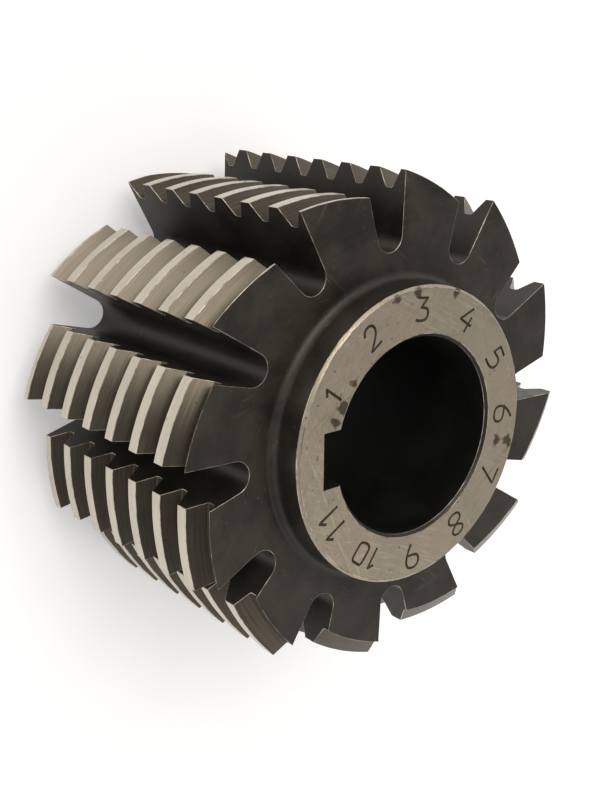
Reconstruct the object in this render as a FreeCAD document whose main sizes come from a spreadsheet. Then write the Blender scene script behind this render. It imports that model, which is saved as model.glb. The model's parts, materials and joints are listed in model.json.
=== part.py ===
import FreeCAD, Part
import math
import os
import Sketcher

# A gear hob: one piece of tool steel with a plain bore, a keyway and a hub at each end.
# Straight gashes split its single-start thread into rows of backed-off teeth.
#
# Frame, in mm: the axis is +Z, the bottom hub face lies on z = 0 and the keyway is on +X.
# Angles run anticlockwise seen from above. Each cutting face is a radial plane that looks
# anticlockwise into its gash, and its tooth lies on the clockwise side.

SIZES = (
    # name, value, what it measures
    ("outside_diameter", 56.0, "across the cutting edges"),
    ("total_length", 40.0, "over both hub faces"),
    ("hub_diameter", 33.0, "raised ring at each end"),
    ("hub_height", 4.0, "hub face to toothed end face"),
    ("hub_foot_bevel", 0.8, "bevel between hub and toothed end face"),
    ("hub_edge_chamfer", 0.3, "outer corner of each hub face"),
    ("bore_diameter", 22.0, "arbor bore"),
    ("bore_edge_chamfer", 0.35, "inner corner of each hub face"),
    ("keyway_width", 6.08, "along the bore, full length"),
    ("keyway_reach", 24.1, "keyway floor to the far side of the bore"),
    ("row_count", 12, "tooth rows, and the gashes between them"),
    ("gash_depth", 8.5, "cutting edge to gash floor"),
    ("gash_angle", 18.0, "degrees between cutting face and heel wall"),
    ("gash_floor_radius", 1.75, "round of the gash floor"),
    ("gash_turn", -2.0, "degrees from keyway to the first cutting face"),
    ("relief_drop", 3.6, "backing off over one row pitch"),
    ("tooth_module", 1.5, "axial pitch is about pi modules"),
    ("profile_angle", 30.0, "degrees, flank to radius"),
    ("crest_height", 0.75, "pitch line to cutting edge"),
    ("root_depth", 1.2, "pitch line to the bottom of a gap"),
    ("gap_height", 1.79, "lowest gap centre on the first cutting face"),
)

CUT_MARGIN = 1.0        # how far a cutter stands clear of the steel
THINNEST_CUT = 0.2      # a gap that would only scratch an end face by less is left out
SWEEP_AHEAD = 0.15      # of a row pitch, from a cutting face into its gash
SWEEP_BEHIND = 0.80     # of a row pitch, from a cutting face to beyond the heel

doc = FreeCAD.newDocument("GearHob")
sheet = doc.addObject("Spreadsheet::Sheet", "Sizes")
for row, (name, value, meaning) in enumerate(SIZES, start=1):
    sheet.set(f"A{row}", name)
    sheet.set(f"B{row}", str(value))
    sheet.set(f"C{row}", meaning)
    sheet.setAlias(f"B{row}", name)
doc.recompute()


def size(name):
    """The value that the sheet holds under a name."""
    return float(sheet.get(name))


def bind(thing, prop, formula):
    """Tie a property to the sheet, where the formula's names are the sheet's aliases."""
    for name, _, _ in SIZES:
        formula = formula.replace(name, f"Sizes.{name}")
    thing.setExpression(prop, formula)


# ---------------------------------------------------------------- sketches

body = doc.addObject("PartDesign::Body", "HobBlank")
ORIGIN = (-1, 1)        # the sketch origin, as geometry index and point
FLAT_AXIS = -1          # the sketch's horizontal axis
START, END, CENTRE = 1, 2, 3


def new_sketch(name, plane):
    """An empty sketch on one of the body's own origin planes."""
    sketch = body.newObject("Sketcher::SketchObject", name)
    support = next(f for f in body.Origin.OriginFeatures if f.Role == plane)
    sketch.AttachmentSupport = [(support, "")]
    sketch.MapMode = "FlatFace"
    return sketch


def constrain(sketch, kind, *args, formula=None):
    """Add a constraint, tied to the sheet if it has a formula."""
    index = sketch.addConstraint(Sketcher.Constraint(kind, *args))
    if formula:
        bind(sketch, f"Constraints[{index}]", formula)


def pin(sketch, geometry, point, flat=None, upright=None):
    """Hold a point at (value, formula) distances from the sketch origin, along each axis."""
    if flat:
        value, formula = flat
        constrain(sketch, "DistanceX", *ORIGIN, geometry, point, value, formula=formula)
    if upright:
        value, formula = upright
        constrain(sketch, "DistanceY", *ORIGIN, geometry, point, value, formula=formula)
    else:
        constrain(sketch, "PointOnObject", geometry, point, FLAT_AXIS)


def line(sketch, start, end):
    return sketch.addGeometry(Part.LineSegment(FreeCAD.Vector(*start, 0), FreeCAD.Vector(*end, 0)))


def pocket_up(name, sketch):
    """Cut a sketch on the bottom plane up through the whole length."""
    before = body.Tip.Shape.Volume
    pocket = body.newObject("PartDesign::Pocket", name)
    pocket.Profile = sketch
    pocket.Reversed = True
    pocket.Length = size("total_length")
    bind(pocket, "Length", "total_length")
    doc.recompute()
    if not pocket.Shape.Volume < before:
        raise RuntimeError(f"{name} cuts nothing")
    return pocket


def repeat_round(name, feature):
    """Repeat a feature once for every tooth row."""
    pattern = body.newObject("PartDesign::PolarPattern", name)
    pattern.Originals = [feature]
    pattern.Axis = (feature.Profile[0], ["N_Axis"])
    pattern.Angle = 360
    pattern.Occurrences = int(size("row_count"))
    bind(pattern, "Occurrences", "row_count")
    body.Tip = pattern
    doc.recompute()
    return pattern


# ---------------------------------------------------------------- blank

def blank_section():
    """Half section of the turned blank: two hubs and the toothed cylinder, round the bore."""
    bore = (size("bore_diameter") / 2, "bore_diameter / 2")
    hub = (size("hub_diameter") / 2, "hub_diameter / 2")
    rim = (size("outside_diameter") / 2, "outside_diameter / 2")
    shoulder = (size("hub_height"), "hub_height")
    far_shoulder = (size("total_length") - size("hub_height"), "total_length - hub_height")
    top = (size("total_length"), "total_length")
    corners = (
        (bore, None),
        (hub, None),
        (hub, shoulder),
        (rim, shoulder),
        (rim, far_shoulder),
        (hub, far_shoulder),
        (hub, top),
        (bore, top),
    )
    places = [(flat[0], upright[0] if upright else 0.0) for flat, upright in corners]
    sketch = new_sketch("BlankSection", "XZ_Plane")
    for start, end in zip(places, places[1:] + places[:1]):
        line(sketch, start, end)
    for index, (flat, upright) in enumerate(corners):
        constrain(sketch, "Coincident", index - 1 if index else len(corners) - 1, END, index, START)
        pin(sketch, index, START, flat, upright)
    return sketch


def ring_edges(shape, radius, heights):
    """Names of the full-circle edges of a radius, at any of the heights."""
    names = []
    for index, edge in enumerate(shape.Edges, start=1):
        if not isinstance(edge.Curve, Part.Circle):
            continue
        right_radius = abs(edge.Curve.Radius - radius) < 1e-4
        if right_radius and any(abs(edge.Curve.Center.z - z) < 1e-4 for z in heights):
            names.append(f"Edge{index}")
    return names


def bevel(name, alias, radius, heights):
    """Bevel the ring edges of a radius, by the size under an alias."""
    base = body.Tip
    chamfer = body.newObject("PartDesign::Chamfer", name)
    chamfer.Base = (base, ring_edges(base.Shape, radius, heights))
    chamfer.Size = size(alias)
    bind(chamfer, "Size", alias)
    doc.recompute()


blank = body.newObject("PartDesign::Revolution", "Blank")
blank.Profile = blank_section()
blank.ReferenceAxis = (blank.Profile[0], ["V_Axis"])
blank.Angle = 360
doc.recompute()

LENGTH = size("total_length")
FACES = (0.0, LENGTH)
SHOULDERS = (size("hub_height"), LENGTH - size("hub_height"))
bevel("HubFoot", "hub_foot_bevel", size("hub_diameter") / 2, SHOULDERS)
bevel("HubEdge", "hub_edge_chamfer", size("hub_diameter") / 2, FACES)
bevel("BoreEdge", "bore_edge_chamfer", size("bore_diameter") / 2, FACES)


# ---------------------------------------------------------------- keyway

def keyway_outline():
    """A slot from the axis to the keyway floor, even about +X."""
    reach = (size("keyway_reach") - size("bore_diameter") / 2, "keyway_reach - bore_diameter / 2")
    half = (size("keyway_width") / 2, "keyway_width / 2")
    back = (-1.0, None)
    sketch = new_sketch("KeywayOutline", "XY_Plane")
    corners = ((back[0], -half[0]), (reach[0], -half[0]), (reach[0], half[0]), (back[0], half[0]))
    for start, end in zip(corners, corners[1:] + corners[:1]):
        line(sketch, start, end)
    for index in range(4):
        constrain(sketch, "Coincident", index, END, (index + 1) % 4, START)
    for level in (0, 2):
        constrain(sketch, "Horizontal", level)
    constrain(sketch, "Vertical", 3)
    constrain(sketch, "Symmetric", 1, START, 1, END, FLAT_AXIS)
    constrain(sketch, "DistanceY", 1, START, 1, END, 2 * half[0], formula="keyway_width")
    constrain(sketch, "DistanceX", *ORIGIN, 1, START, reach[0], formula=reach[1])
    constrain(sketch, "DistanceX", *ORIGIN, 3, START, back[0])
    return sketch


pocket_up("Keyway", keyway_outline())


# ---------------------------------------------------------------- gashes

def turn_to_first_row(sketch):
    """Turn a sketch drawn along +X so that its axis lies on the first cutting face."""
    axis = FreeCAD.Vector(0, 0, 1)
    turn = FreeCAD.Rotation(axis, size("gash_turn"))
    sketch.AttachmentOffset = FreeCAD.Placement(FreeCAD.Vector(), turn)
    bind(sketch, "AttachmentOffset.Rotation.Angle", "gash_turn")


def gash_outline():
    """Cutting face along the sketch axis, round floor, and a heel wall that opens outwards."""
    rim = size("outside_diameter") / 2
    floor_radius = size("gash_floor_radius")
    angle = math.radians(size("gash_angle"))
    reach = rim - size("gash_depth") + floor_radius
    centre = (math.sqrt(reach**2 - floor_radius**2), floor_radius)
    foot = (centre[0] - floor_radius * math.sin(angle), centre[1] + floor_radius * math.cos(angle))
    clear = rim + CUT_MARGIN
    heel = (clear, foot[1] + (clear - foot[0]) * math.tan(angle))

    sketch = new_sketch("GashOutline", "XY_Plane")
    cutting_face = line(sketch, (centre[0], 0), (clear, 0))
    mouth = line(sketch, (clear, 0), heel)
    heel_wall = line(sketch, heel, foot)
    circle = Part.Circle(FreeCAD.Vector(*centre, 0), FreeCAD.Vector(0, 0, 1), floor_radius)
    arc = Part.ArcOfCircle(circle, math.pi / 2 + angle, 3 * math.pi / 2)
    floor = sketch.addGeometry(arc)

    constrain(sketch, "Coincident", cutting_face, END, mouth, START)
    constrain(sketch, "Coincident", mouth, END, heel_wall, START)
    constrain(sketch, "Tangent", heel_wall, END, floor, START)
    constrain(sketch, "Tangent", floor, END, cutting_face, START)
    constrain(sketch, "PointOnObject", cutting_face, START, FLAT_AXIS)
    constrain(sketch, "PointOnObject", cutting_face, END, FLAT_AXIS)
    constrain(sketch, "Vertical", mouth)
    constrain(sketch, "Radius", floor, floor_radius, formula="gash_floor_radius")
    constrain(
        sketch, "Distance", *ORIGIN, floor, CENTRE, reach,
        formula="outside_diameter / 2 - gash_depth + gash_floor_radius",
    )
    constrain(sketch, "Angle", FLAT_AXIS, START, heel_wall, END, angle, formula="gash_angle")
    constrain(
        sketch, "DistanceX", *ORIGIN, mouth, START, clear,
        formula=f"outside_diameter / 2 + {CUT_MARGIN}",
    )
    turn_to_first_row(sketch)
    return sketch


repeat_round("Gashes", pocket_up("Gash", gash_outline()))


# ---------------------------------------------------------------- backing off

ROW_PITCH = 360 / size("row_count")
RELIEF_OFFSET = size("relief_drop") * size("row_count") / (2 * math.pi)
RELIEF_TURN = 90 - ROW_PITCH / 3


def relief_centre():
    """Where the relief arc of a tooth is centred, with its cutting face along +X.

    The offset is square to the radius a third of a row pitch behind the cutting face, about
    the middle of the tooth, so that the arc falls by the relief drop over a row pitch.
    """
    turn = math.radians(RELIEF_TURN)
    return RELIEF_OFFSET * math.cos(turn), RELIEF_OFFSET * math.sin(turn)


def relief_radius():
    """From the relief centre to the cutting edge."""
    flat, upright = relief_centre()
    return math.hypot(size("outside_diameter") / 2 - flat, upright)


def relief_outline():
    """The sliver between a tooth's relief arc and the turned blank, behind its cutting face."""
    rim = size("outside_diameter") / 2
    flat, upright = relief_centre()
    radius = relief_radius()
    depth = rim * math.sin(math.radians(0.75 * ROW_PITCH))
    arc_end = (flat + math.sqrt(radius**2 - (depth + upright)**2), -depth)
    clear = rim + CUT_MARGIN

    sketch = new_sketch("ReliefOutline", "XY_Plane")
    circle = Part.Circle(FreeCAD.Vector(flat, upright, 0), FreeCAD.Vector(0, 0, 1), radius)
    low = math.atan2(arc_end[1] - upright, arc_end[0] - flat)
    high = math.atan2(-upright, rim - flat)
    arc = sketch.addGeometry(Part.ArcOfCircle(circle, low, high))
    front = line(sketch, (rim, 0), (clear, 0))
    outside = line(sketch, (clear, 0), (clear, -depth))
    back = line(sketch, (clear, -depth), arc_end)

    constrain(sketch, "Coincident", arc, END, front, START)
    constrain(sketch, "Coincident", front, END, outside, START)
    constrain(sketch, "Coincident", outside, END, back, START)
    constrain(sketch, "Coincident", back, END, arc, START)
    constrain(sketch, "PointOnObject", front, END, FLAT_AXIS)
    constrain(sketch, "Vertical", outside)
    constrain(sketch, "Horizontal", back)
    pin(sketch, front, START, flat=(rim, "outside_diameter / 2"))
    offset = "relief_drop * row_count / (2 * pi)"
    turn = "(90 - 120 / row_count)"
    pin(
        sketch, arc, CENTRE,
        flat=(flat, f"{offset} * cos({turn})"),
        upright=(upright, f"{offset} * sin({turn})"),
    )
    constrain(
        sketch, "DistanceX", *ORIGIN, outside, START, clear,
        formula=f"outside_diameter / 2 + {CUT_MARGIN}",
    )
    constrain(
        sketch, "DistanceY", outside, END, outside, START, depth,
        formula="outside_diameter / 2 * sin(270 / row_count)",
    )
    turn_to_first_row(sketch)
    return sketch


repeat_round("Reliefs", pocket_up("Relief", relief_outline()))


# ---------------------------------------------------------------- thread gaps

PITCH_RADIUS = size("outside_diameter") / 2 - size("crest_height")
NORMAL_PITCH = math.pi * size("tooth_module")
LEAD_ANGLE = math.asin(size("tooth_module") / (2 * PITCH_RADIUS))
AXIAL_PITCH = NORMAL_PITCH / math.cos(LEAD_ANGLE)
FLANK = math.radians(size("profile_angle"))


def half_gap(above_pitch_line):
    """Half the width of a gap at a height above the pitch line."""
    return NORMAL_PITCH / 4 + above_pitch_line * math.tan(FLANK)


def gap_section():
    """Section of a gap: x out from the relief centre, z along the hob."""
    crest = relief_radius()
    top = crest + 0.5 * CUT_MARGIN
    bottom = crest - size("crest_height") - size("root_depth")
    half_top = half_gap(size("crest_height") + 0.5 * CUT_MARGIN)
    half_bottom = half_gap(-size("root_depth"))
    corners = (
        FreeCAD.Vector(top, 0, -half_top),
        FreeCAD.Vector(bottom, 0, -half_bottom),
        FreeCAD.Vector(bottom, 0, half_bottom),
        FreeCAD.Vector(top, 0, half_top),
    )
    return Part.Face(Part.makePolygon(corners + corners[:1]))


def row_gap():
    """The gap cutter of one row, level with z = 0, with its cutting face along +X.

    The section turns about the relief centre, so that the gap falls with the crest. It is
    tilted by the lead angle about the radius at the middle of the tooth.
    """
    up = FreeCAD.Vector(0, 0, 1)
    centre = FreeCAD.Vector(*relief_centre(), 0)
    behind = math.radians(-SWEEP_BEHIND * ROW_PITCH)
    ahead = math.radians(SWEEP_AHEAD * ROW_PITCH)
    rim = size("outside_diameter") / 2

    def seen_from_centre(angle):
        """Direction, in degrees, from the relief centre to a point on the rim."""
        spot = FreeCAD.Vector(rim * math.cos(angle), rim * math.sin(angle), 0) - centre
        return math.degrees(math.atan2(spot.y, spot.x))

    start = seen_from_centre(behind)
    sweep = seen_from_centre(ahead) - start
    gap = gap_section().revolve(FreeCAD.Vector(), up, sweep)
    gap.rotate(FreeCAD.Vector(), up, start)
    gap.translate(centre)
    middle = math.radians(-ROW_PITCH / 3)
    radius_line = FreeCAD.Vector(math.cos(middle), math.sin(middle), 0)
    gap.rotate(FreeCAD.Vector(), radius_line, math.degrees(LEAD_ANGLE))
    gap.translate(up * (middle / (2 * math.pi) * AXIAL_PITCH))
    return gap


def thread_gaps():
    """Every gap of the right-hand thread, row by row."""
    up = FreeCAD.Vector(0, 0, 1)
    reach = half_gap(size("crest_height")) - THINNEST_CUT
    lowest = SHOULDERS[0] - reach
    highest = SHOULDERS[1] + reach
    pattern = row_gap()
    gaps = []
    for row in range(int(size("row_count"))):
        height = size("gap_height") + AXIAL_PITCH * row / size("row_count")
        first = math.ceil((lowest - height) / AXIAL_PITCH)
        last = math.floor((highest - height) / AXIAL_PITCH)
        for turn in range(first, last + 1):
            gap = pattern.copy()
            gap.rotate(FreeCAD.Vector(), up, size("gash_turn") + row * ROW_PITCH)
            gap.translate(up * (height + turn * AXIAL_PITCH))
            gaps.append(gap)
    return gaps


cutters = doc.addObject("Part::Feature", "ThreadGaps")
cutters.Label = "thread_gap_cutters"
cutters.Shape = Part.Compound(thread_gaps())
hob = doc.addObject("Part::Cut", "GearHobSolid")
hob.Label = "gear_hob"
hob.Base = body
hob.Tool = cutters
doc.recompute()


# ---------------------------------------------------------------- checks and export

for thing in doc.Objects:
    if "Invalid" in thing.State or "Error" in thing.State:
        raise RuntimeError(f"{thing.Label} failed: {thing.State}")
if hob.Shape.isNull() or not hob.Shape.isValid() or len(hob.Shape.Solids) != 1:
    raise RuntimeError("the hob isn't one valid solid")
if not hob.Shape.Volume < body.Shape.Volume:
    raise RuntimeError("the thread gaps cut nothing")

os.makedirs("parts", exist_ok=True)
hob.Shape.exportStep(f"parts/{hob.Label}.step")
print(f"{hob.Label}: {len(hob.Shape.Faces)} faces, {hob.Shape.Volume:.0f} mm3,"
      f" axial pitch {AXIAL_PITCH:.3f} mm, lead {math.degrees(LEAD_ANGLE):.3f} degrees")
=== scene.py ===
# %% [markdown]
# # Dressing a gear hob
#
# A gear hob is one piece of tool steel that looks like a worm with slots milled along it.
# A lathe turns the blank, a cutter mills the gashes, a relieving lathe backs off the teeth
# and grinding leaves the hub faces bright. This script repeats those cuts in that order, so
# that every surface gets the finish of the tool that made it. The CAD model gives the box,
# the bore and the bodies. Lengths are in metres.

# %% Load the frame
import bmesh
import bpy
import json
import math
import random
from mathutils import Matrix, Vector


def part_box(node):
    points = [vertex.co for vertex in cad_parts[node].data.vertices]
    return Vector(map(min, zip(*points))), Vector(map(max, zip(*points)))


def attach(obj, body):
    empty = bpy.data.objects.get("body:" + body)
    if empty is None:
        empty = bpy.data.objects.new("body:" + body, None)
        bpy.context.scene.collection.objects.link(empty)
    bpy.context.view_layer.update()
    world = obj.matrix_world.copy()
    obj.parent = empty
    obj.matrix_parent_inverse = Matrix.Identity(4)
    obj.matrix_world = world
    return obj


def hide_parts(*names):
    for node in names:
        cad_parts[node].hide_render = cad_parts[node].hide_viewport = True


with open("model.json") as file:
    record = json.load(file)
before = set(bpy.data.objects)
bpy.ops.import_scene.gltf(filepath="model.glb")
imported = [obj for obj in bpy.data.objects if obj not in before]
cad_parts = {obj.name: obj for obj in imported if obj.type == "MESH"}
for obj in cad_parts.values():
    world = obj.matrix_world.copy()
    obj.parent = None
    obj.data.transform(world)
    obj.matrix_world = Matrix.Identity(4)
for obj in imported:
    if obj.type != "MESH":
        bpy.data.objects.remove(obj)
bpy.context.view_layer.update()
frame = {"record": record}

# %% Sizes, from the frame and from the hob's own proportions
MM = 0.001
low, high = (Vector(corner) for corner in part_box("gear_hob"))
mounts = {mount["name"]: mount for mount in frame["record"]["mounts"]}

ROWS = 12
ROW_PITCH = 2 * math.pi / ROWS
FIRST_ROW = math.radians(-2)            # from the keyway to the first cutting face
TOOTH_MIDDLE = -ROW_PITCH / 3           # from a cutting face to the middle of its teeth
RIM = (high.x - low.x) / 2 / math.cos(FIRST_ROW)
LENGTH = high.z - low.z
BORE = mounts["bore"]["dims"]["r_mm"] * MM
HUB = 16.5 * MM
HUB_HEIGHT = 4 * MM
HUB_FOOT = 1 * MM
HUB_EDGE = 0.3 * MM
BORE_EDGE = (LENGTH - mounts["bore"]["dims"]["length_mm"] * MM) / 2
KEYWAY_WIDTH = 6.08 * MM
KEYWAY_FLOOR = mounts["keyway"]["pos_m"][0]
TEETH_LOW, TEETH_HIGH = HUB_HEIGHT, LENGTH - HUB_HEIGHT
MODULE = 1.5 * MM
CREST = 0.5 * MODULE                    # pitch line to crest
LEAD_ANGLE = math.asin(MODULE / (2 * (RIM - CREST)))
PITCH = math.pi * MODULE / math.cos(LEAD_ANGLE)
CLEAR = 1 * MM                          # how far a cutter stands out of the steel
UP = Vector((0, 0, 1))
print(f"hob: {2000 * RIM:.2f} mm across, {1000 * LENGTH:.2f} mm long, bore {2000 * BORE:.1f} mm")

# %% [markdown]
# ## Finishes
#
# The finishes come before the shape, because each cutter carries the finish that it leaves.
# Effects that several finishes share are node groups. They put out masks and vectors only,
# and every material keeps its own Principled BSDF. All patterns read Object coordinates, so
# that they stay on the steel in any view.

# %% Node helpers
def add_node(tree, kind, inputs=None, **settings):
    """Add a node, then set its properties and fill or wire its inputs."""
    node = tree.nodes.new(kind)
    for name, value in settings.items():
        setattr(node, name, value)
    for name, value in (inputs or {}).items():
        if isinstance(value, bpy.types.NodeSocket):
            tree.links.new(value, node.inputs[name])
        else:
            node.inputs[name].default_value = value
    return node


def maths(tree, operation, *values):
    """The result of a Math node on numbers or sockets."""
    return add_node(tree, "ShaderNodeMath", dict(enumerate(values)),
                    operation=operation).outputs[0]


# A Mix node's colour sockets share their names with its other kinds, so they go by number.
MIX_MASK, MIX_UNDER, MIX_OVER, MIX_RESULT = 0, 6, 7, 2


def blend_colours(tree, mask, under, over):
    """One colour laid over another where the mask is 1."""
    inputs = {MIX_MASK: mask, MIX_UNDER: under, MIX_OVER: over}
    return add_node(tree, "ShaderNodeMix", inputs, data_type="RGBA").outputs[MIX_RESULT]


def remap(tree, value, low_in, high_in, low_out=0.0, high_out=1.0):
    """A value eased from one range to another, held at both ends."""
    inputs = {"Value": value, "From Min": low_in, "From Max": high_in,
              "To Min": low_out, "To Max": high_out}
    return add_node(tree, "ShaderNodeMapRange", inputs,
                    interpolation_type="SMOOTHSTEP").outputs["Result"]


def new_group(name, inputs, outputs):
    """An empty node group. Inputs are name to (kind, default), and outputs name to kind."""
    group = bpy.data.node_groups.new(name, "ShaderNodeTree")
    for socket, (kind, default) in inputs.items():
        made = group.interface.new_socket(socket, in_out="INPUT", socket_type=kind)
        if default is not None:
            made.default_value = default
    for socket, kind in outputs.items():
        group.interface.new_socket(socket, in_out="OUTPUT", socket_type=kind)
    entry = group.nodes.new("NodeGroupInput")
    leave = group.nodes.new("NodeGroupOutput")
    return group, entry.outputs, leave.inputs


def use_group(tree, group, **inputs):
    """Place a node group in a tree and hand back its outputs."""
    return add_node(tree, "ShaderNodeGroup", inputs, node_tree=group).outputs


print("node helpers are ready")

# %% [markdown]
# ### Shared effects
#
# Five effects turn up on more than one kind of steel: coordinates that follow the turning,
# fine scratches, soft uneven patches, small dots and ragged blots. Each is built once, and
# a finish sets its scale and its strength.

# %% Shared effects
FLOAT, VECTOR = "NodeSocketFloat", "NodeSocketVector"
PATCH_SCALE = 0.12 / MM                  # scratched patches are about 8 mm wide
PATCH_EDGE = 0.08                        # how softly a scratched patch ends


def make_round_coordinates():
    """Object coordinates unrolled, so that X is the distance round the rim.

    Rings has the radius as Y and the height as Z. Thread has a Z that stays the same along
    a thread, which gains Lead in height in each turn.
    """
    group, entry, leave = new_group(
        "round_coordinates", {"Vector": (VECTOR, None), "Lead": (FLOAT, 5 * MM)},
        {"Rings": VECTOR, "Thread": VECTOR})
    parts = add_node(group, "ShaderNodeSeparateXYZ", {0: entry["Vector"]}).outputs
    turn = maths(group, "ARCTAN2", parts["Y"], parts["X"])
    square = maths(group, "ADD", maths(group, "POWER", parts["X"], 2.0),
                   maths(group, "POWER", parts["Y"], 2.0))
    round_rim = maths(group, "MULTIPLY", turn, RIM)
    gained = maths(group, "MULTIPLY", maths(group, "DIVIDE", turn, 2 * math.pi), entry["Lead"])
    rings = {"X": round_rim, "Y": maths(group, "SQRT", square), "Z": parts["Z"]}
    thread = {"X": round_rim, "Z": maths(group, "SUBTRACT", parts["Z"], gained)}
    for name, joined in (("Rings", rings), ("Thread", thread)):
        group.links.new(add_node(group, "ShaderNodeCombineXYZ", joined).outputs[0], leave[name])
    return group


def make_scratches():
    """Fine lines along X, where a noise that is stretched that way crosses its middle value.

    Waver is the noise's detail: 0 draws straight lines. Cover is the share that is scratched.
    """
    group, entry, leave = new_group(
        "scratches",
        {"Vector": (VECTOR, None), "Turn": (VECTOR, None), "Spacing": (FLOAT, 0.5 * MM),
         "Stretch": (FLOAT, 20.0), "Width": (FLOAT, 0.02), "Cover": (FLOAT, 0.5),
         "Waver": (FLOAT, 2.0)},
        {"Mask": FLOAT})
    turned = add_node(group, "ShaderNodeVectorRotate",
                      {"Vector": entry["Vector"], "Rotation": entry["Turn"]},
                      rotation_type="EULER_XYZ").outputs[0]
    across = maths(group, "DIVIDE", 1.0, entry["Spacing"])
    along = maths(group, "DIVIDE", across, entry["Stretch"])
    scale = add_node(group, "ShaderNodeCombineXYZ", {"X": along, "Y": across, "Z": across})
    stretched = add_node(group, "ShaderNodeVectorMath",
                         {0: turned, 1: scale.outputs[0]}, operation="MULTIPLY").outputs[0]
    noise = add_node(group, "ShaderNodeTexNoise",
                     {"Vector": stretched, "Scale": 1.0, "Detail": entry["Waver"]}).outputs[0]
    away = maths(group, "ABSOLUTE", maths(group, "SUBTRACT", noise, 0.5))
    line = remap(group, away, 0.0, entry["Width"], 1.0, 0.0)
    patches = add_node(group, "ShaderNodeTexNoise",
                       {"Vector": turned, "Scale": PATCH_SCALE, "Detail": 3.0}).outputs[0]
    edge = maths(group, "SUBTRACT", 1.0, entry["Cover"])
    gate = remap(group, patches, maths(group, "SUBTRACT", edge, PATCH_EDGE),
                 maths(group, "ADD", edge, PATCH_EDGE))
    group.links.new(maths(group, "MULTIPLY", line, gate), leave["Mask"])
    return group


def make_mottle():
    """Soft uneven patches, from 0 to 1."""
    group, entry, leave = new_group(
        "mottle", {"Vector": (VECTOR, None), "Size": (FLOAT, 2 * MM), "Contrast": (FLOAT, 0.15)},
        {"Mask": FLOAT})
    scale = maths(group, "DIVIDE", 1.0, entry["Size"])
    noise = add_node(group, "ShaderNodeTexNoise",
                     {"Vector": entry["Vector"], "Scale": scale, "Detail": 6.0,
                      "Roughness": 0.6}).outputs[0]
    mask = remap(group, noise, maths(group, "SUBTRACT", 0.5, entry["Contrast"]),
                 maths(group, "ADD", 0.5, entry["Contrast"]))
    group.links.new(mask, leave["Mask"])
    return group


def make_specks():
    """Small scattered dots, few of them as wide as Size allows."""
    group, entry, leave = new_group(
        "specks", {"Vector": (VECTOR, None), "Spacing": (FLOAT, 1 * MM), "Size": (FLOAT, 0.15)},
        {"Mask": FLOAT})
    scale = maths(group, "DIVIDE", 1.0, entry["Spacing"])
    cells = add_node(group, "ShaderNodeTexVoronoi",
                     {"Vector": entry["Vector"], "Scale": scale}).outputs
    parts = add_node(group, "ShaderNodeSeparateColor", {0: cells["Color"]}).outputs
    size = maths(group, "MULTIPLY", entry["Size"], maths(group, "POWER", parts[0], 3.0))
    mask = remap(group, cells["Distance"], maths(group, "MULTIPLY", size, 0.6), size, 1.0, 0.0)
    group.links.new(mask, leave["Mask"])
    return group


def make_stain():
    """A ragged blot round one place on the steel."""
    group, entry, leave = new_group(
        "stain", {"Vector": (VECTOR, None), "Place": (VECTOR, None), "Size": (FLOAT, 1 * MM)},
        {"Mask": FLOAT})
    away = add_node(group, "ShaderNodeVectorMath", {0: entry["Vector"], 1: entry["Place"]},
                    operation="DISTANCE").outputs["Value"]
    noise = add_node(group, "ShaderNodeTexNoise",
                     {"Vector": entry["Vector"], "Scale": 1.1 / MM, "Detail": 4.0}).outputs[0]
    ragged = maths(group, "MULTIPLY", maths(group, "DIVIDE", away, entry["Size"]),
                   remap(group, noise, 0.3, 0.7, 0.5, 1.5))
    group.links.new(remap(group, ragged, 0.45, 1.0, 1.0, 0.0), leave["Mask"])
    return group


round_coordinates = make_round_coordinates()
scratches = make_scratches()
mottle = make_mottle()
specks = make_specks()
stain = make_stain()
print("shared effects:", [group.name for group in bpy.data.node_groups])

# %% Material helper
def new_material(name):
    """A material with an empty Principled BSDF, and the Object coordinates to paint by."""
    material = bpy.data.materials.new(name)
    material.use_nodes = True
    tree = material.node_tree
    shader = tree.nodes["Principled BSDF"]
    place = add_node(tree, "ShaderNodeTexCoord").outputs["Object"]
    return material, tree, shader.inputs, place


def set_bump(tree, inputs, height, depth):
    """Raise the surface where height is 1, by a depth in metres."""
    bump = add_node(tree, "ShaderNodeBump", {"Height": height, "Distance": depth, "Strength": 1.0})
    tree.links.new(bump.outputs[0], inputs["Normal"])


print("material helper is ready")

# %% [markdown]
# ### Ground hub face
#
# A cup wheel grinds the hub faces last. It leaves a bright, slightly warm grey with fine
# lines that cross, and handling adds freckles and a few brown blots. The lines are four
# sets of scratches at different turns, two pale and two dull, laid over a soft mottle.

# %% Finish: ground hub face
HUB_GREY = (0.34, 0.31, 0.23, 1)
HUB_PINK = (0.39, 0.32, 0.25, 1)
HUB_PALE = (0.56, 0.50, 0.40, 1)
HUB_DULL = (0.17, 0.145, 0.105, 1)
BROWN = (0.035, 0.022, 0.013, 1)
STAINS = (                               # place on the top hub face, and size
    ((11.6 * MM, -3.9 * MM, LENGTH), 0.7 * MM),
    ((10.6 * MM, -5.6 * MM, LENGTH), 1.0 * MM),
    ((9.2 * MM, -7.6 * MM, LENGTH), 0.6 * MM),
    ((3.6 * MM, -15.6 * MM, LENGTH), 0.7 * MM),
    ((0.6 * MM, -15.9 * MM, LENGTH), 0.8 * MM),
    ((-5.2 * MM, -15.2 * MM, LENGTH), 0.6 * MM),
    ((-15.0 * MM, 3.6 * MM, LENGTH), 0.9 * MM),
    ((-12.8 * MM, 3.2 * MM, LENGTH), 0.7 * MM),
)


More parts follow.
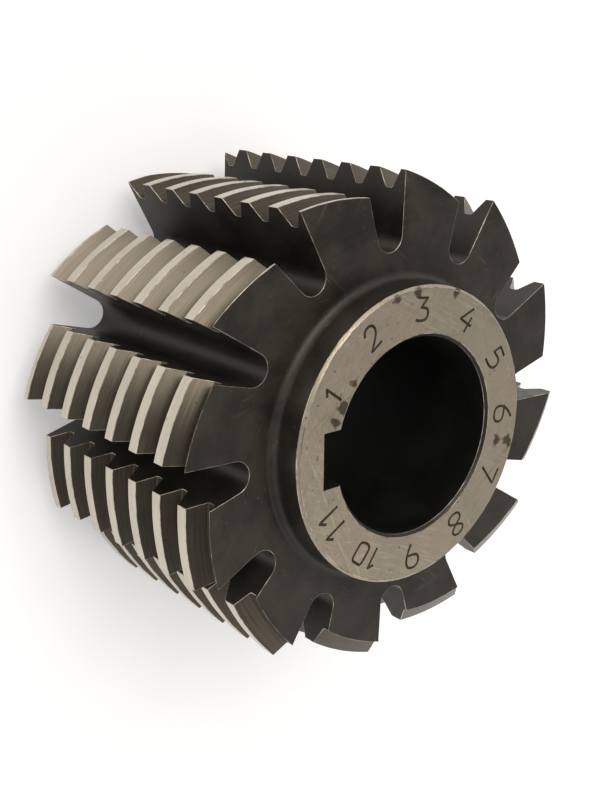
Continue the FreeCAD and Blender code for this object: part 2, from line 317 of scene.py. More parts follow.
def make_hub_face():
    material, tree, inputs, place = new_material("ground_hub_face")
    tint = use_group(tree, mottle, Vector=place, Size=12 * MM, Contrast=0.12)["Mask"]
    colour = blend_colours(tree, tint, HUB_GREY, HUB_PINK)
    patches = use_group(tree, mottle, Vector=place, Size=2.2 * MM, Contrast=0.25)["Mask"]
    colour = blend_colours(tree, maths(tree, "MULTIPLY", patches, 0.25), colour, HUB_DULL)
    grain = use_group(tree, mottle, Vector=place, Size=0.3 * MM, Contrast=0.35)["Mask"]
    colour = blend_colours(tree, maths(tree, "MULTIPLY", grain, 0.18), colour, HUB_PALE)
    lines = 0.0
    for turn, spacing, width, cover, strength, tone in (  # spacing in millimetres
            (0.45, 0.45, 0.024, 0.50, 0.55, HUB_PALE),
            (1.15, 0.60, 0.022, 0.45, 0.60, HUB_PALE),
            (2.5, 0.32, 0.030, 0.50, 0.40, HUB_DULL),
            (1.9, 0.38, 0.026, 0.45, 0.40, HUB_DULL)):
        mask = use_group(tree, scratches, Vector=place, Turn=(0, 0, turn), Spacing=spacing * MM,
                         Stretch=24.0, Width=width, Cover=cover)["Mask"]
        colour = blend_colours(tree, maths(tree, "MULTIPLY", mask, strength), colour, tone)
        lines = maths(tree, "MAXIMUM", lines, mask)
    freckles = use_group(tree, specks, Vector=place, Spacing=0.7 * MM, Size=0.24)["Mask"]
    blots = maths(tree, "MULTIPLY", freckles, 0.8)
    for centre, size in STAINS:
        mask = use_group(tree, stain, Vector=place, Place=centre, Size=size)["Mask"]
        blots = maths(tree, "MAXIMUM", blots, mask)
    colour = blend_colours(tree, maths(tree, "MULTIPLY", blots, 0.92), colour, BROWN)
    tree.links.new(colour, inputs["Base Color"])
    shine = remap(tree, patches, 0.0, 1.0, 0.38, 0.48)
    tree.links.new(maths(tree, "MAXIMUM", shine, maths(tree, "MULTIPLY", blots, 0.75)),
                   inputs["Roughness"])
    tree.links.new(remap(tree, blots, 0.0, 1.0, 0.8, 0.1), inputs["Metallic"])
    inputs["Specular IOR Level"].default_value = 0.25
    set_bump(tree, inputs, lines, -0.003 * MM)
    return material


hub_face = make_hub_face()
print("finish:", hub_face.name)

# %% [markdown]
# ### Relief-ground teeth
#
# The crests and flanks are ground as the hob turns, so their lines follow the thread round
# the rim. The pattern reads the unrolled coordinates, where X is the way round and Z stays
# the same along a thread. The lines are straight, as a wheel draws them. Crests, flanks and
# roots are one steel in three tones: the crests pale as a painted highlight, the flanks a
# darker brown as painted shade, and the roots darkest as painted shade in the recess.

# %% Finish: relief-ground teeth
def make_ground_steel(name, grey, pale, shine):
    """Fine straight lines of two tones along the thread, over a slow change of colour."""
    material, tree, inputs, place = new_material(name)
    unrolled = use_group(tree, round_coordinates, Vector=place, Lead=PITCH)["Thread"]
    patches = use_group(tree, mottle, Vector=place, Size=8 * MM, Contrast=0.4)["Mask"]
    colour = blend_colours(tree, maths(tree, "MULTIPLY", patches, 0.55), grey, pale)
    lines = 0.0
    for spacing, width, cover, strength, tone in (  # spacing in millimetres
            (0.07, 0.12, 0.90, 0.35, pale),
            (0.13, 0.06, 0.60, 0.55, grey),
            (0.20, 0.035, 0.50, 0.55, pale)):
        mask = use_group(tree, scratches, Vector=unrolled, Spacing=spacing * MM, Stretch=200.0,
                         Width=width, Cover=cover, Waver=0.0)["Mask"]
        colour = blend_colours(tree, maths(tree, "MULTIPLY", mask, strength), colour, tone)
        lines = maths(tree, "MAXIMUM", lines, maths(tree, "MULTIPLY", mask, strength))
    freckles = use_group(tree, specks, Vector=place, Spacing=1.1 * MM, Size=0.16)["Mask"]
    colour = blend_colours(tree, maths(tree, "MULTIPLY", freckles, 0.5), colour, BROWN)
    tree.links.new(colour, inputs["Base Color"])
    dulled = remap(tree, patches, 0.0, 1.0, shine, shine + 0.06)
    tree.links.new(maths(tree, "ADD", maths(tree, "MULTIPLY", lines, 0.10), dulled),
                   inputs["Roughness"])
    inputs["Metallic"].default_value = 0.95
    set_bump(tree, inputs, lines, -0.002 * MM)
    return material


# Crest copy: pale colours, a painted highlight on the crests.
crest_painted_highlight_steel = make_ground_steel("crest_painted_highlight_steel", grey=(0.39, 0.355, 0.295, 1),
                                pale=(0.72, 0.66, 0.56, 1), shine=0.26)
# Flank copy: dark brown colours, painted shade on the flanks.
flank_painted_shade_steel = make_ground_steel("flank_painted_shade_steel", grey=(0.075, 0.064, 0.050, 1),
                                pale=(0.165, 0.142, 0.112, 1), shine=0.26)
# Root copy: darkest colours, painted shade down in the roots.
root_painted_shade_steel = make_ground_steel("root_painted_shade_steel", grey=(0.034, 0.030, 0.024, 1),
                               pale=(0.095, 0.083, 0.067, 1), shine=0.40)
print("finishes:", crest_painted_highlight_steel.name, flank_painted_shade_steel.name, root_painted_shade_steel.name)

# %% [markdown]
# ### Dark oxide
#
# What isn't ground keeps the near-black skin of the heat treatment. It has a soft brown
# cloudiness, faint rings from turning, pale hairlines from handling and a little dust. The
# gashes and the bore are the same skin with less of each, so one function makes all three.
# The bore's copy is also much darker, as painted shade for the unlit inside of the bore.

# %% Finish: dark oxide, in three strengths
def make_oxide(name, dark, pale, shine, wear):
    """Oxide skin between two colours, with hairlines and dust as strong as wear."""
    material, tree, inputs, place = new_material(name)
    clouds = use_group(tree, mottle, Vector=place, Size=5 * MM, Contrast=0.2)["Mask"]
    colour = blend_colours(tree, clouds, dark, pale)
    grain = use_group(tree, mottle, Vector=place, Size=0.25 * MM, Contrast=0.3)["Mask"]
    colour = blend_colours(tree, maths(tree, "MULTIPLY", grain, 0.35), colour, pale)
    unrolled = use_group(tree, round_coordinates, Vector=place)["Rings"]
    rings = use_group(tree, scratches, Vector=unrolled, Spacing=0.22 * MM, Stretch=300.0,
                      Width=0.16, Cover=0.8)["Mask"]
    colour = blend_colours(tree, maths(tree, "MULTIPLY", rings, 0.22), colour, pale)
    hairs = 0.0
    for turn in (0.7, 2.1, 2.9):
        mask = use_group(tree, scratches, Vector=place, Turn=(0, 0, turn), Spacing=1.3 * MM,
                         Stretch=22.0, Width=0.009, Cover=0.38)["Mask"]
        hairs = maths(tree, "MAXIMUM", hairs, mask)
    colour = blend_colours(tree, maths(tree, "MULTIPLY", hairs, wear), colour, HUB_DULL)
    dust = use_group(tree, specks, Vector=place, Spacing=0.8 * MM, Size=0.16)["Mask"]
    colour = blend_colours(tree, maths(tree, "MULTIPLY", dust, wear), colour, HUB_DULL)
    tree.links.new(colour, inputs["Base Color"])
    tree.links.new(remap(tree, clouds, 0.0, 1.0, shine, shine + 0.1), inputs["Roughness"])
    inputs["Metallic"].default_value = 0.5
    set_bump(tree, inputs, maths(tree, "ADD", grain, maths(tree, "MULTIPLY", rings, 0.8)),
             0.003 * MM)
    return material


end_oxide = make_oxide("end_face_oxide", dark=(0.012, 0.0105, 0.008, 1),
                       pale=(0.046, 0.040, 0.031, 1), shine=0.38, wear=0.45)
gash_oxide = make_oxide("gash_oxide", dark=(0.011, 0.0095, 0.008, 1),
                        pale=(0.035, 0.030, 0.023, 1), shine=0.40, wear=0.25)
# The bore's colours are painted shade: several times darker than the end faces' oxide, so the
# inside of the bore stays near black.
bore_painted_shade_oxide = make_oxide("bore_painted_shade_oxide", dark=(0.004, 0.004, 0.004, 1),
                        pale=(0.012, 0.012, 0.010, 1), shine=0.48, wear=0.05)
print("finishes:", end_oxide.name, gash_oxide.name, bore_painted_shade_oxide.name)

# %% [markdown]
# ### Rubbed edges and scribed marks
#
# Handling rubs every sharp edge bright. The bevel that rounds the edges takes this finish,
# broken up by a mottle so that some stretches stay dull. The numbers are burnt in by an
# electric pencil, which leaves a rough brown-black furrow.

# %% Finishes: rubbed edges and scribed marks
RUBBED_DULL = (0.20, 0.17, 0.13, 1)
RUBBED_BRIGHT = (0.58, 0.51, 0.41, 1)
BURN_BLACK = (0.018, 0.014, 0.010, 1)
BURN_BROWN = (0.075, 0.055, 0.038, 1)


def make_rubbed_edge():
    material, tree, inputs, place = new_material("rubbed_edge")
    worn = use_group(tree, mottle, Vector=place, Size=1.5 * MM, Contrast=0.12)["Mask"]
    colour = blend_colours(tree, worn, RUBBED_DULL, RUBBED_BRIGHT)
    tree.links.new(colour, inputs["Base Color"])
    tree.links.new(remap(tree, worn, 0.0, 1.0, 0.45, 0.28), inputs["Roughness"])
    inputs["Metallic"].default_value = 0.9
    return material


def make_scribed():
    material, tree, inputs, place = new_material("scribed_mark")
    burn = use_group(tree, mottle, Vector=place, Size=0.5 * MM, Contrast=0.2)["Mask"]
    colour = blend_colours(tree, burn, BURN_BLACK, BURN_BROWN)
    tree.links.new(colour, inputs["Base Color"])
    tree.links.new(remap(tree, burn, 0.0, 1.0, 0.6, 0.8), inputs["Roughness"])
    return material


rubbed_edge = make_rubbed_edge()
scribed = make_scribed()
print("finishes:", rubbed_edge.name, scribed.name)

# %% [markdown]
# ## The blank
#
# The blank is a turned part, so its half section is drawn once and spun round the axis. The
# lower half of the section is the upper half mirrored. The rim stands a little proud, and
# the relief cut takes it down.

# %% Modelling helpers
def make_piece(name, shape, *finishes):
    """Turn a bmesh into an object that sits at the origin."""
    bmesh.ops.recalc_face_normals(shape, faces=shape.faces)
    mesh = bpy.data.meshes.new(name)
    shape.to_mesh(mesh)
    shape.free()
    for finish in finishes:
        mesh.materials.append(finish)
    piece = bpy.data.objects.new(name, mesh)
    bpy.context.scene.collection.objects.link(piece)
    return piece


def add_chain(shape, points, closed=False):
    """Vertices joined by edges, in order."""
    chain = [shape.verts.new(point) for point in points]
    for start, end in zip(chain, chain[1:] + chain[:1] if closed else chain[1:]):
        shape.edges.new((start, end))
    return chain


def arc(centre, radius, start, end, steps):
    """Points of an arc in a plane, as pairs."""
    turns = (start + (end - start) * step / steps for step in range(steps + 1))
    return [(centre[0] + radius * math.cos(turn), centre[1] + radius * math.sin(turn))
            for turn in turns]


print("modelling helpers are ready")

# %% Turn the blank
ROUND_STEPS = 180
RIM_SPARE = 0.2 * MM                     # left on the rim for the relief cut
BLANK_FINISHES = [end_oxide, hub_face, bore_painted_shade_oxide, rubbed_edge, gash_oxide]


def upper_section():
    """Radius and height pairs, from the middle of the bore out to the middle of the rim."""
    foot = arc((HUB + HUB_FOOT, TEETH_HIGH + HUB_FOOT), HUB_FOOT, math.pi, 1.5 * math.pi, 6)
    return [
        (BORE, LENGTH - BORE_EDGE),
        (BORE + BORE_EDGE, LENGTH),
        (HUB - HUB_EDGE, LENGTH),
        (HUB, LENGTH - HUB_EDGE),
        *foot,
        (RIM + RIM_SPARE, TEETH_HIGH),
    ]


def turn_blank():
    upper = upper_section()
    lower = [(radius, LENGTH - height) for radius, height in reversed(upper)]
    shape = bmesh.new()
    add_chain(shape, [(radius, 0, height) for radius, height in upper + lower], closed=True)
    bmesh.ops.spin(shape, geom=shape.verts[:] + shape.edges[:], cent=(0, 0, 0), axis=UP,
                   dvec=(0, 0, 0), angle=2 * math.pi, steps=ROUND_STEPS, use_merge=True,
                   use_duplicate=False)
    for face in shape.faces:
        middle = face.calc_center_median()
        radius = math.hypot(middle.x, middle.y)
        outside = min(middle.z, LENGTH - middle.z)
        # Faces inside the bore take the bore's colours, painted shade; its edge chamfers take the
        # gash oxide.
        if radius < BORE + 0.9 * BORE_EDGE and outside > BORE_EDGE / 4:
            finish = bore_painted_shade_oxide if outside > BORE_EDGE else gash_oxide
        else:
            finish = hub_face if outside < HUB_EDGE else end_oxide
        face.material_index = BLANK_FINISHES.index(finish)
    return make_piece("dressed_hob", shape, *BLANK_FINISHES)


hob = turn_blank()
print("blank:", len(hob.data.polygons), "faces")

# %% [markdown]
# ## Cutting
#
# Each cut is a Boolean with the exact solver. Its material mode is Transfer, so the walls
# of the cut take the cutter's finish. A cutter always stands a little clear of the steel,
# because faces that lie on each other make a Boolean guess.

# %% Cutting helper
def cut(piece, cutter, crossed=False):
    """Cut a cutter out of a piece, then throw the cutter away. A crossed one meets itself."""
    before = len(piece.data.polygons)
    modifier = piece.modifiers.new(cutter.name, "BOOLEAN")
    modifier.operation = "DIFFERENCE"
    modifier.solver = "EXACT"
    modifier.use_self = crossed
    modifier.material_mode = "TRANSFER"
    modifier.object = cutter
    evaluated = piece.evaluated_get(bpy.context.evaluated_depsgraph_get())
    mesh = bpy.data.meshes.new_from_object(evaluated)
    piece.modifiers.clear()
    old = piece.data
    piece.data = mesh
    bpy.data.meshes.remove(old)
    print(f"{cutter.name}: {before} faces before, {len(mesh.polygons)} after")
    bpy.data.objects.remove(cutter)


def raise_outline(shape, bottom, top):
    """Fill a closed flat outline and draw it up from one height to another."""
    face = shape.faces.new(shape.verts[:])
    bmesh.ops.translate(shape, vec=UP * bottom, verts=shape.verts[:])
    made = bmesh.ops.extrude_face_region(shape, geom=[face])
    verts = [part for part in made["geom"] if isinstance(part, bmesh.types.BMVert)]
    bmesh.ops.translate(shape, vec=UP * (top - bottom), verts=verts)


def repeat_round(shape):
    """Turn a shape to the first row and copy it to all the others."""
    bmesh.ops.rotate(shape, cent=(0, 0, 0), matrix=Matrix.Rotation(FIRST_ROW, 3, "Z"),
                     verts=shape.verts[:])
    bmesh.ops.spin(shape, geom=shape.verts[:] + shape.edges[:] + shape.faces[:], cent=(0, 0, 0),
                   axis=UP, dvec=(0, 0, 0), angle=2 * math.pi - ROW_PITCH, steps=ROWS - 1,
                   use_merge=False, use_duplicate=True)


print("cutting helpers are ready")

# %% [markdown]
# ### Keyway
#
# A broach pulls the keyway through the bore, so it is a plain slot as long as the hob. The
# cutter is a box from the axis out to the keyway's floor.

# %% Cut the keyway
def keyway_cutter():
    shape = bmesh.new()
    half = KEYWAY_WIDTH / 2
    add_chain(shape, [(0, -half, 0), (KEYWAY_FLOOR, -half, 0), (KEYWAY_FLOOR, half, 0),
                      (0, half, 0)])
    raise_outline(shape, -CLEAR, LENGTH + CLEAR)
    # The keyway's walls take the bore's colours, which are painted shade.
    return make_piece("keyway", shape, bore_painted_shade_oxide)


cut(hob, keyway_cutter())

# %% [markdown]
# ### Gashes
#
# A gash has a radial cutting face on one side, a round floor and a heel wall that leans
# away by the gash angle. Its outline is drawn with the cutting face along +X, and the two
# straight sides touch the floor's arc where they are tangent to it.

# %% Mill the gashes
GASH_DEPTH = 8.5 * MM
GASH_ANGLE = math.radians(18)
GASH_FLOOR = 1.75 * MM


def gash_cutter():
    reach = RIM - GASH_DEPTH + GASH_FLOOR
    centre = (math.sqrt(reach**2 - GASH_FLOOR**2), GASH_FLOOR)
    floor = arc(centre, GASH_FLOOR, math.pi / 2 + GASH_ANGLE, 1.5 * math.pi, 10)
    clear = RIM + 2 * CLEAR
    heel = floor[0][1] + (clear - floor[0][0]) * math.tan(GASH_ANGLE)
    shape = bmesh.new()
    add_chain(shape, [(x, y, 0) for x, y in [*floor, (clear, 0), (clear, heel)]])
    raise_outline(shape, -CLEAR, LENGTH + CLEAR)
    repeat_round(shape)
    return make_piece("gashes", shape, gash_oxide)


cut(hob, gash_cutter())

# %% [markdown]
# ### Relief
#
# Behind its cutting edge each tooth falls away, so that only the edge touches the gear.
# The crest is an arc about a centre that is set off to one side. The same centre serves the
# thread gaps, and that keeps a tooth's form the same after it is sharpened. The arc's
# corners are spaced so that none falls on a cutting edge or a heel, where it would leave a
# sliver.

# %% Back off the crests
RELIEF_DROP = 3.6 * MM                   # over one row pitch
RELIEF_OFFSET = RELIEF_DROP * ROWS / (2 * math.pi)
RELIEF_TURN = math.pi / 2 + TOOTH_MIDDLE
RELIEF_CENTRE = Vector((math.cos(RELIEF_TURN), math.sin(RELIEF_TURN), 0)) * RELIEF_OFFSET
RELIEF_RADIUS = (Vector((RIM, 0, 0)) - RELIEF_CENTRE).length
# The next two are angles seen from the relief centre.
CUTTING_EDGE = math.atan2(-RELIEF_CENTRE.y, RIM - RELIEF_CENTRE.x)
TOOTH_LENGTH = math.radians(19.05)
RELIEF_STEP = TOOTH_LENGTH / 10.5
CREST_STEPS = 16
CREST_BEHIND = 13.75                     # how many of them lie behind the cutting edge


def relief_cutter():
    ahead = CUTTING_EDGE + (CREST_STEPS - CREST_BEHIND) * RELIEF_STEP
    behind = CUTTING_EDGE - CREST_BEHIND * RELIEF_STEP
    crest = arc(RELIEF_CENTRE, RELIEF_RADIUS, behind, ahead, CREST_STEPS)
    outside = arc(RELIEF_CENTRE, RELIEF_RADIUS + 4 * CLEAR, ahead, behind, 6)
    shape = bmesh.new()
    add_chain(shape, [(x, y, 0) for x, y in crest + outside])
    raise_outline(shape, 0, LENGTH)
    repeat_round(shape)
    # The crest walls take the crest colours, a painted highlight.
    return make_piece("reliefs", shape, crest_painted_highlight_steel)


cut(hob, relief_cutter())

# %% [markdown]
# ### Thread gaps
#
# The thread has one start, so a gap moves up by one pitch in a full turn and by a twelfth
# of a pitch from row to row. A gap is a four-sided section with its two inner corners
# rounded, spun about the relief centre and tilted by the lead angle.

# %% Cut the thread gaps
FLANK = math.radians(30)
ROOT = 0.8 * MODULE                      # pitch line to root
ROOT_ROUND = 0.3 * MM
FIRST_GAP = 1.79 * MM                    # lowest gap centre on the first cutting face
GAP_STEPS = 17
GAP_BEHIND = 14.25                       # how many of them lie behind the cutting edge
LEAST_BITE = 0.2 * MM                    # a gap that overlaps the teeth less is left out


def half_gap(above_pitch_line):
    """Half the width of a gap at a height above the pitch line."""
    return math.pi * MODULE / 4 + above_pitch_line * math.tan(FLANK)


def one_gap():
    """A gap of the row whose cutting face is on +X, centred on height 0 there."""
    top = RELIEF_RADIUS + CLEAR / 2
    bottom = RELIEF_RADIUS - CREST - ROOT
    wide, narrow = half_gap(CREST + CLEAR / 2), half_gap(-ROOT)
    shape = bmesh.new()
    corners = add_chain(
        shape, [(top, 0, -wide), (bottom, 0, -narrow), (bottom, 0, narrow), (top, 0, wide)])
    shape.faces.new(corners)
    bmesh.ops.bevel(shape, geom=corners[1:3], offset=0.6 * ROOT_ROUND, segments=4, profile=0.5,
                    affect="VERTICES", material=-1)
    start = CUTTING_EDGE - GAP_BEHIND * RELIEF_STEP
    bmesh.ops.rotate(shape, cent=(0, 0, 0), matrix=Matrix.Rotation(start, 3, "Z"),
                     verts=shape.verts[:])
    bmesh.ops.spin(shape, geom=shape.verts[:] + shape.edges[:] + shape.faces[:], cent=(0, 0, 0),
                   axis=UP, dvec=(0, 0, 0), angle=GAP_STEPS * RELIEF_STEP, steps=GAP_STEPS,
                   use_merge=False, use_duplicate=False)
    # Faces near the root take the second finish, painted shade in the recess; the rest take the
    # first.
    for face in shape.faces:
        face.material_index = int(face.calc_center_median().xy.length < bottom + ROOT_ROUND)
    bmesh.ops.translate(shape, vec=RELIEF_CENTRE, verts=shape.verts[:])
    radius_line = Vector((math.cos(TOOTH_MIDDLE), math.sin(TOOTH_MIDDLE), 0))
    bmesh.ops.rotate(shape, cent=(0, 0, 0), matrix=Matrix.Rotation(LEAD_ANGLE, 3, radius_line),
                     verts=shape.verts[:])
    bmesh.ops.translate(shape, vec=UP * (PITCH * TOOTH_MIDDLE / (2 * math.pi)),
                        verts=shape.verts[:])
    return shape


def gap_heights(row):
    """Heights of a row's gaps, left out where a gap would only scratch an end face."""
    base = FIRST_GAP + PITCH * row / ROWS
    reach = half_gap(CREST) - LEAST_BITE
    first = math.ceil((TEETH_LOW - reach - base) / PITCH)
    last = math.floor((TEETH_HIGH + reach - base) / PITCH)
    return [base + PITCH * turn for turn in range(first, last + 1)]


def gap_cutters():
    """One gap copied to every place along the thread."""
    pattern = one_gap()
    bmesh.ops.recalc_face_normals(pattern, faces=pattern.faces)
    mesh = bpy.data.meshes.new("one_gap")
    pattern.to_mesh(mesh)
    pattern.free()
    shape = bmesh.new()
    for row in range(ROWS):
        for height in gap_heights(row):
            known = set(shape.verts)
            shape.from_mesh(mesh)
            verts = [vert for vert in shape.verts if vert not in known]
            turn = Matrix.Rotation(FIRST_ROW + row * ROW_PITCH, 3, "Z")
            bmesh.ops.rotate(shape, cent=(0, 0, 0), matrix=turn, verts=verts)
            bmesh.ops.translate(shape, vec=UP * height, verts=verts)
    # The gap walls take the flank colours, painted shade, and the root colours, painted shade in
    # the recess.
    return make_piece("thread_gaps", shape, flank_painted_shade_steel, root_painted_shade_steel)


cut(hob, gap_cutters())

# %% [markdown]
# ### Row numbers
#
# The toolmaker numbers the rows by hand with an electric pencil. The keyway marks the
# start, so the numbers run from 1 to 11. Each figure is a few strokes on a grid four wide
# and six high. A stroke becomes a NURBS curve with a round bevel, which is made a mesh and
# cut about half its width into the hub face. Every figure gets a little turn, size and shift
# of its own from a seeded generator, because no hand repeats itself. The depth varies too,
# and that keeps crossing strokes from lying on each other.

# %% Scribe the row numbers
STROKES = {
    "0": [[(2, 0), (0, 0), (0, 3), (0, 6), (2, 6), (4, 6), (4, 3), (4, 0), (1.8, 0.1)]],
    "1": [[(0.6, 4.6), (2.2, 6), (2.2, 6), (2, 0)]],
    "2": [[(0.2, 4.6), (0.6, 6.3), (3.6, 6.3), (4.2, 3.6), (0, 0), (0, 0), (4, 0.2)]],
    "3": [[(0.3, 6), (3.8, 5.9), (3.8, 5.9), (1.8, 3.5), (1.8, 3.5), (4.6, 3.2), (3.8, -0.4),
           (0.1, 0.4)]],
    "4": [[(2.6, 6), (0, 2), (0, 2), (4.2, 2.2)], [(3.2, 4), (3, 0)]],
    "5": [[(3.8, 6), (0.8, 6), (0.8, 6), (0.4, 3.4), (0.4, 3.4), (4.2, 4.2), (4.2, 0), (0, 0.1)]],
    "6": [[(3.4, 6), (0.6, 4.4), (-0.2, 0), (3.9, -0.4), (4.2, 3.4), (0.4, 3.2)]],
    "7": [[(0, 6), (4, 5.8), (4, 5.8), (1.4, 0)]],
    "8": [[(2, 3.2), (-0.4, 4.4), (0.6, 6.4), (3.6, 6.4), (4.4, 4.4), (2, 3.2), (-0.6, 2),
           (0.2, -0.4), (3.8, -0.4), (4.6, 2), (2.1, 3.1)]],
    "9": [[(3.9, 3), (0, 2.6), (0.1, 6.4), (4, 6.4), (4.2, 3), (2.6, 0)]],
}
FIGURE_GRID = 0.43 * MM                  # a figure is 6 of these high
FIGURE_STEP = 2.15 * MM                  # from one figure to the next
STROKE_WIDTH = 0.34 * MM
NUMBER_RADIUS = 13.9 * MM                # to the middle of the figures
FIGURE_TILT = 0.14                       # most turn of a figure, in radians
FIGURE_SIZES = (0.92, 1.1)               # smallest and largest, as parts of the grid
FIGURE_SHIFT = (0.1, 0.18)               # most shift sideways and along the radius, in mm
SUNK = 0.06                              # most that a point of a stroke is sunk, in mm
SEED = 4


def add_figure(curve, figure, turn, hand):
    """Draw one figure on the hub face, feet towards the bore."""
    tilt = Matrix.Rotation(hand.uniform(-FIGURE_TILT, FIGURE_TILT), 3, "Z")
    grid = FIGURE_GRID * hand.uniform(*FIGURE_SIZES)
    shift = Vector([hand.uniform(-most, most) for most in FIGURE_SHIFT] + [0]) * MM
    for stroke in STROKES[figure]:
        spline = curve.splines.new("NURBS")
        spline.points.add(len(stroke) - 1)
        for point, (x, y) in zip(spline.points, stroke):
            spot = tilt @ Vector((x - 2, y - 3, 0)) * grid + shift
            spot += Vector((0, NUMBER_RADIUS, LENGTH - hand.uniform(0, SUNK) * MM))
            point.co = (*(Matrix.Rotation(turn - math.pi / 2, 3, "Z") @ spot), 1)
        spline.order_u = 3
        spline.use_endpoint_u = True


def number_cutter():
    hand = random.Random(SEED)
    curve = bpy.data.curves.new("row_numbers", "CURVE")
    curve.dimensions = "3D"
    curve.resolution_u = 5
    curve.bevel_depth = STROKE_WIDTH / 2
    curve.bevel_resolution = 1
    curve.use_fill_caps = True
    for number in range(1, ROWS):
        figures = str(number)
        for place, figure in enumerate(figures):
            aside = (place - (len(figures) - 1) / 2) * FIGURE_STEP / NUMBER_RADIUS
            add_figure(curve, figure, -number * ROW_PITCH - aside, hand)
    drawn = bpy.data.objects.new("row_numbers", curve)
    mesh = bpy.data.meshes.new_from_object(drawn)
    bpy.data.objects.remove(drawn)
    shape = bmesh.new()
    shape.from_mesh(mesh)
    bmesh.ops.remove_doubles(shape, verts=shape.verts[:], dist=0.001 * MM)
    return make_piece("row_numbers", shape, scribed)


cut(hob, number_cutter(), crossed=True)

# %% [markdown]
# ## Edges
#
# No edge on a handled tool is a perfect corner. A narrow bevel catches the light along
# each one and takes the rubbed finish. Flat faces are first merged, so that the bevel has
# clean outlines to follow. A seam at the middle of each row keeps an end face in sectors,
# because a mesh can't hold it as one ring. The numbers are left as they are cut.

# %% Break the edges
EDGE_WIDTH = 0.05 * MM
SHORTEST_EDGE = 0.002 * MM
FLAT_ANGLE = math.radians(0.1)           # faces that bend less are merged
SEAM_REACH = math.radians(0.2)
BROKEN_ANGLE = math.radians(28)          # edges that bend more are bevelled
SHARP_ANGLE = math.radians(50)           # edges that bend more keep a hard shading line


def break_edges(piece):
    """Merge the flat faces of a piece, bevel its sharp edges and set its shading."""
    shape = bmesh.new()
    shape.from_mesh(piece.data)
    names = [finish.name for finish in piece.data.materials]
    marks = names.index(scribed.name)
    unmarked = [edge for edge in shape.edges
                if all(face.material_index != marks for face in edge.link_faces)]
    bmesh.ops.dissolve_degenerate(shape, dist=SHORTEST_EDGE, edges=unmarked)
    for edge in shape.edges:
        middle = (edge.verts[0].co + edge.verts[1].co) / 2
        turn = math.atan2(middle.y, middle.x) - FIRST_ROW - TOOTH_MIDDLE
        edge.seam = abs(turn - ROW_PITCH * round(turn / ROW_PITCH)) < SEAM_REACH
    bmesh.ops.dissolve_limit(shape, angle_limit=FLAT_ANGLE, use_dissolve_boundaries=False,
                             verts=shape.verts[:], edges=shape.edges[:],
                             delimit={"MATERIAL", "SEAM"})
    sharp = [edge for edge in shape.edges
             if edge.is_manifold and edge.calc_face_angle(0) > BROKEN_ANGLE
             and all(face.material_index != marks for face in edge.link_faces)]
    bmesh.ops.bevel(shape, geom=sharp, offset=EDGE_WIDTH, segments=2, profile=0.5,
                    affect="EDGES", clamp_overlap=False, material=names.index(rubbed_edge.name))
    for face in shape.faces:
        face.smooth = True
    for edge in shape.edges:
        edge.smooth = edge.calc_face_angle(0) < SHARP_ANGLE
    shape.to_mesh(piece.data)
    shape.free()


break_edges(hob)
even = hob.modifiers.new("even_shading", "WEIGHTED_NORMAL")
even.keep_sharp = True
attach(hob, "root")
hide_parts("gear_hob")
print("hob:", len(hob.data.polygons), "faces,", len(hob.data.materials), "finishes")

# %% [markdown]
# ## Stage
#
# The hob stands on one hub face on a plain floor, with soft light from above. The camera
# looks down on it and is rolled, as when someone tips the hob to read its face. The floor
# glows a little to the eye and in reflections, and more where the lamps don't reach, so
# that it looks white throughout. It adds no light to the steel's diffuse side.

# %% Floor, light and camera
FLOOR_HALF = 4.0                         # half the floor's width
LIT_PART, DIM_PART = 0.3, 1.5            # how far out the lamps' light starts and ends falling
NEAR_GLOW, FAR_GLOW = 0.28, 0.85
FLOOR_GREY, FLOOR_PALE = (0.90, 0.90, 0.90, 1), (0.93, 0.93, 0.93, 1)
WALL_WHITE, CEILING_GREY = (1.0, 0.99, 0.97, 1), (0.26, 0.25, 0.24, 1)


def make_floor():
    material, tree, inputs, place = new_material("pale_floor")
    grain = use_group(tree, mottle, Vector=place, Size=40 * MM, Contrast=0.3)["Mask"]
    tree.links.new(blend_colours(tree, grain, FLOOR_GREY, FLOOR_PALE), inputs["Base Color"])
    inputs["Roughness"].default_value = 0.9
    inputs["Specular IOR Level"].default_value = 0.1
    inputs["Emission Color"].default_value = (1, 1, 1, 1)
    ray = add_node(tree, "ShaderNodeLightPath").outputs
    seen = maths(tree, "MAXIMUM", ray["Is Camera Ray"],
                 maths(tree, "MAXIMUM", ray["Is Glossy Ray"], ray["Is Transmission Ray"]))
    out = add_node(tree, "ShaderNodeVectorMath", {0: place}, operation="LENGTH").outputs["Value"]
    glow = remap(tree, out, LIT_PART, DIM_PART, NEAR_GLOW, FAR_GLOW)
    tree.links.new(maths(tree, "MULTIPLY", seen, glow), inputs["Emission Strength"])
    shape = bmesh.new()
    bmesh.ops.create_grid(shape, x_segments=1, y_segments=1, size=FLOOR_HALF)
    floor = make_piece("floor", shape, material)
    return floor


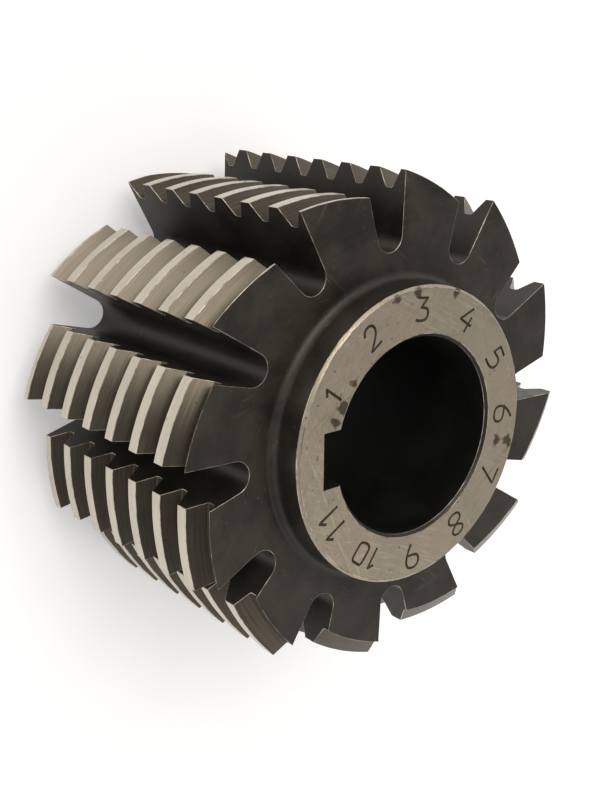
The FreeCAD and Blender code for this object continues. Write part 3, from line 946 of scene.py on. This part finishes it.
def place_on_ball(thing, aim, azimuth, elevation, distance, roll=0.0):
    """Put a camera or lamp on a ball round a point, looking at the point."""
    out = Vector((math.cos(elevation) * math.cos(azimuth), math.cos(elevation) * math.sin(azimuth),
                  math.sin(elevation)))
    thing.location = aim + out * distance
    facing = out.to_track_quat("Z", "Y").to_matrix() @ Matrix.Rotation(roll, 3, "Z")
    thing.rotation_euler = facing.to_euler()


def add_lamp(name, azimuth, elevation, distance, size, power, colour):
    """A round soft lamp that faces the hob, its two angles in degrees."""
    light = bpy.data.lights.new(name, "AREA")
    light.shape = "DISK"
    light.size = size
    light.energy = power
    light.color = colour
    lamp = bpy.data.objects.new(name, light)
    bpy.context.scene.collection.objects.link(lamp)
    place_on_ball(lamp, Vector((0, 0, LENGTH / 2)), math.radians(azimuth),
                  math.radians(elevation), distance)


def light_world():
    """White walls round a dimmer ceiling."""
    world = bpy.data.worlds.new("studio")
    world.use_nodes = True
    tree = world.node_tree
    place = add_node(tree, "ShaderNodeTexCoord").outputs["Generated"]
    height = add_node(tree, "ShaderNodeSeparateXYZ", {0: place}).outputs["Z"]
    ceiling = remap(tree, height, 0.35, 0.75)
    colour = blend_colours(tree, ceiling, WALL_WHITE, CEILING_GREY)
    tree.links.new(colour, tree.nodes["Background"].inputs["Color"])
    bpy.context.scene.world = world


def add_camera():
    data = bpy.data.cameras.new("camera")
    data.lens = 52.3
    data.sensor_width = 36
    data.clip_start = 0.005
    camera = bpy.data.objects.new("camera", data)
    bpy.context.scene.collection.objects.link(camera)
    place_on_ball(camera, Vector((0, 0.6 * MM, 20.2 * MM)), math.radians(-25.6),
                  math.radians(47.6), 139.7 * MM, roll=math.radians(109.94))
    bpy.context.scene.camera = camera


make_floor()
light_world()
add_lamp("key", azimuth=-75, elevation=52, distance=1.5, size=1.2, power=13.0,
         colour=(1.0, 0.96, 0.90))
add_lamp("fill", azimuth=120, elevation=60, distance=1.5, size=1.0, power=2.5,
         colour=(1.0, 0.97, 0.93))
add_camera()
bpy.context.scene.view_settings.view_transform = "Standard"
print("stage is set")
